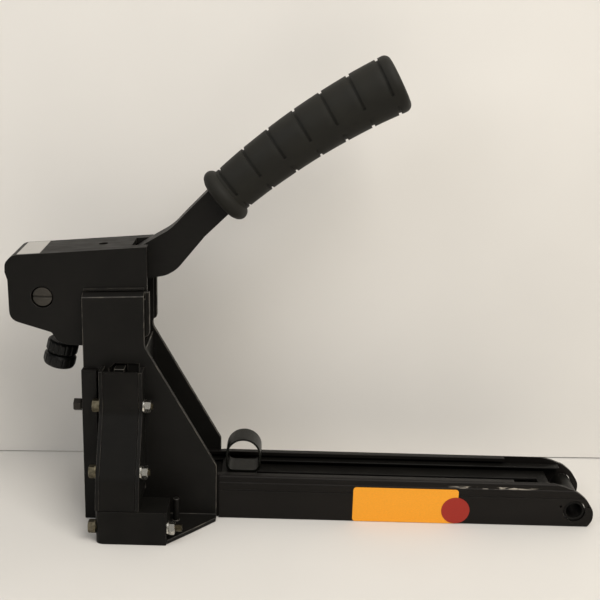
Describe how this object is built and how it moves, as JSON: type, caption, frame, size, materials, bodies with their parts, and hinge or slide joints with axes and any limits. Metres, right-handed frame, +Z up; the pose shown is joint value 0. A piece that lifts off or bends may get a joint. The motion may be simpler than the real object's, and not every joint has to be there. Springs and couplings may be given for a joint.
{
  "type": "manual carton-closing stapler",
  "caption": "Black hand-lever carton stapler: pivoting grip lever, ram column on two clinching feet, and a long low staple magazine with a sliding pusher.",
  "frame": {"origin": "middle of the tool's length, on its centre plane, at the flat sole", "axes": "+X from the nose along the magazine to its tail, +Z up from the sole, -Y is the near side"},
  "size_m": [0.4076, 0.13, 0.32],
  "materials": {
    "black_paint": "satin",
    "blackened_steel": "satin",
    "bare_steel": "satin",
    "zinc": "gloss",
    "anodised_aluminium": "satin",
    "rubber": "matte",
    "paper_label": "matte",
    "black_plastic": "matte"
  },
  "bodies": {
    "frame": {"head_housing": "black_paint", "front_block": "black_paint", "near_side_plate": "black_paint", "far_side_plate": "black_paint", "near_front_claw_plate": "black_paint", "far_front_claw_plate": "black_paint", "near_rear_claw_plate": "black_paint", "far_rear_claw_plate": "black_paint", "near_claw_cover": "black_paint", "far_claw_cover": "black_paint", "near_foot_block": "black_paint", "far_foot_block": "black_paint", "pivot_screw": "blackened_steel", "pivot_nut": "blackened_steel", "near_guide_plate": "blackened_steel", "far_guide_plate": "blackened_steel", "front_stop_screw": "blackened_steel", "front_stop_locknut": "blackened_steel", "front_driver_guide": "blackened_steel", "back_driver_guide": "blackened_steel", "rear_column_plate": "blackened_steel", "near_rail_liner": "blackened_steel", "far_rail_liner": "blackened_steel", "magazine_core": "blackened_steel", "tail_spacer": "blackened_steel", "near_claw_pin": "bare_steel", "far_claw_pin": "bare_steel", "near_return_spring": "bare_steel", "far_return_spring": "bare_steel", "pusher_spring": "bare_steel", "near_upper_bolt": "zinc", "near_upper_nut": "zinc", "near_middle_bolt": "zinc", "near_middle_nut": "zinc", "near_lower_bolt": "zinc", "near_lower_nut": "zinc", "far_upper_bolt": "zinc", "far_upper_nut": "zinc", "far_middle_bolt": "zinc", "far_middle_nut": "zinc", "far_lower_bolt": "zinc", "far_lower_nut": "zinc", "near_rail": "anodised_aluminium", "far_rail": "anodised_aluminium"},
    "lever": {"lever_arm": "black_paint", "lever_grip": "rubber", "roller_pin": "bare_steel"},
    "lever_roller": {"lever_roller": "bare_steel"},
    "ram": {"ram": "blackened_steel", "driver_blade": "bare_steel"},
    "near_claw": {"near_claw": "bare_steel"},
    "far_claw": {"far_claw": "bare_steel"},
    "adjuster_knob": {"adjuster_knob": "black_plastic"},
    "adjuster_screw": {"adjuster_screw": "blackened_steel"},
    "adjuster_lock_ring": {"adjuster_lock_ring": "black_plastic"},
    "pusher": {"pusher": "blackened_steel", "finger_loop": "blackened_steel"}
  },
  "joints": [
    {"name": "lever_pivot", "type": "hinge", "parent": "frame", "child": "lever", "pos_m": [-0.17948, 0, 0.157], "axis": [0, 1, 0], "range_deg": [0, 34], "stiffness_Nm_per_rad": 6, "springref_deg": -20.05},
    {"name": "roller_spin", "type": "hinge", "parent": "lever", "child": "lever_roller", "pos_m": [-0.12788, 0, 0.1728], "axis": [0, 1, 0], "continuous": true},
    {"name": "ram_slide", "type": "slide", "parent": "frame", "child": "ram", "axis": [0, 0, -1], "range_m": [0, 0.0316], "deforming": ["near_return_spring", "far_return_spring"]},
    {"name": "near_claw_swing", "type": "hinge", "parent": "frame", "child": "near_claw", "pos_m": [-0.12708, -0.0295, 0.0195], "axis": [1, 0, 0], "range_deg": [0, 65.2]},
    {"name": "far_claw_swing", "type": "hinge", "parent": "frame", "child": "far_claw", "pos_m": [-0.12708, 0.0295, 0.0195], "axis": [1, 0, 0], "range_deg": [-65.2, 0]},
    {"name": "knob_turn", "type": "hinge", "parent": "frame", "child": "adjuster_knob", "pos_m": [-0.17198, 0, 0.1121], "axis": [-0.2419, 0, -0.9703], "range_deg": [0, 720]},
    {"name": "screw_travel", "type": "slide", "parent": "frame", "child": "adjuster_screw", "axis": [-0.2419, 0, -0.9703], "range_m": [0, 0.00201]},
    {"name": "lock_ring_turn", "type": "hinge", "parent": "frame", "child": "adjuster_lock_ring", "pos_m": [-0.17198, 0, 0.1121], "axis": [-0.2419, 0, -0.9703], "range_deg": [0, 60]},
    {"name": "pusher_slide", "type": "slide", "parent": "frame", "child": "pusher", "axis": [1, 0, 0], "range_m": [0, 0.19], "stiffness_N_per_m": 20, "springref_m": -0.25, "deforming": ["pusher_spring"]}
  ],
  "couplings": [
    {"joint": "ram_slide", "follows": "lever_pivot", "m_per_rad": 0.0531},
    {"joint": "near_claw_swing", "follows": "lever_pivot", "ratio": 1.912},
    {"joint": "far_claw_swing", "follows": "lever_pivot", "ratio": -1.912},
    {"joint": "screw_travel", "follows": "knob_turn", "m_per_rad": 0.00015915}
  ]
}
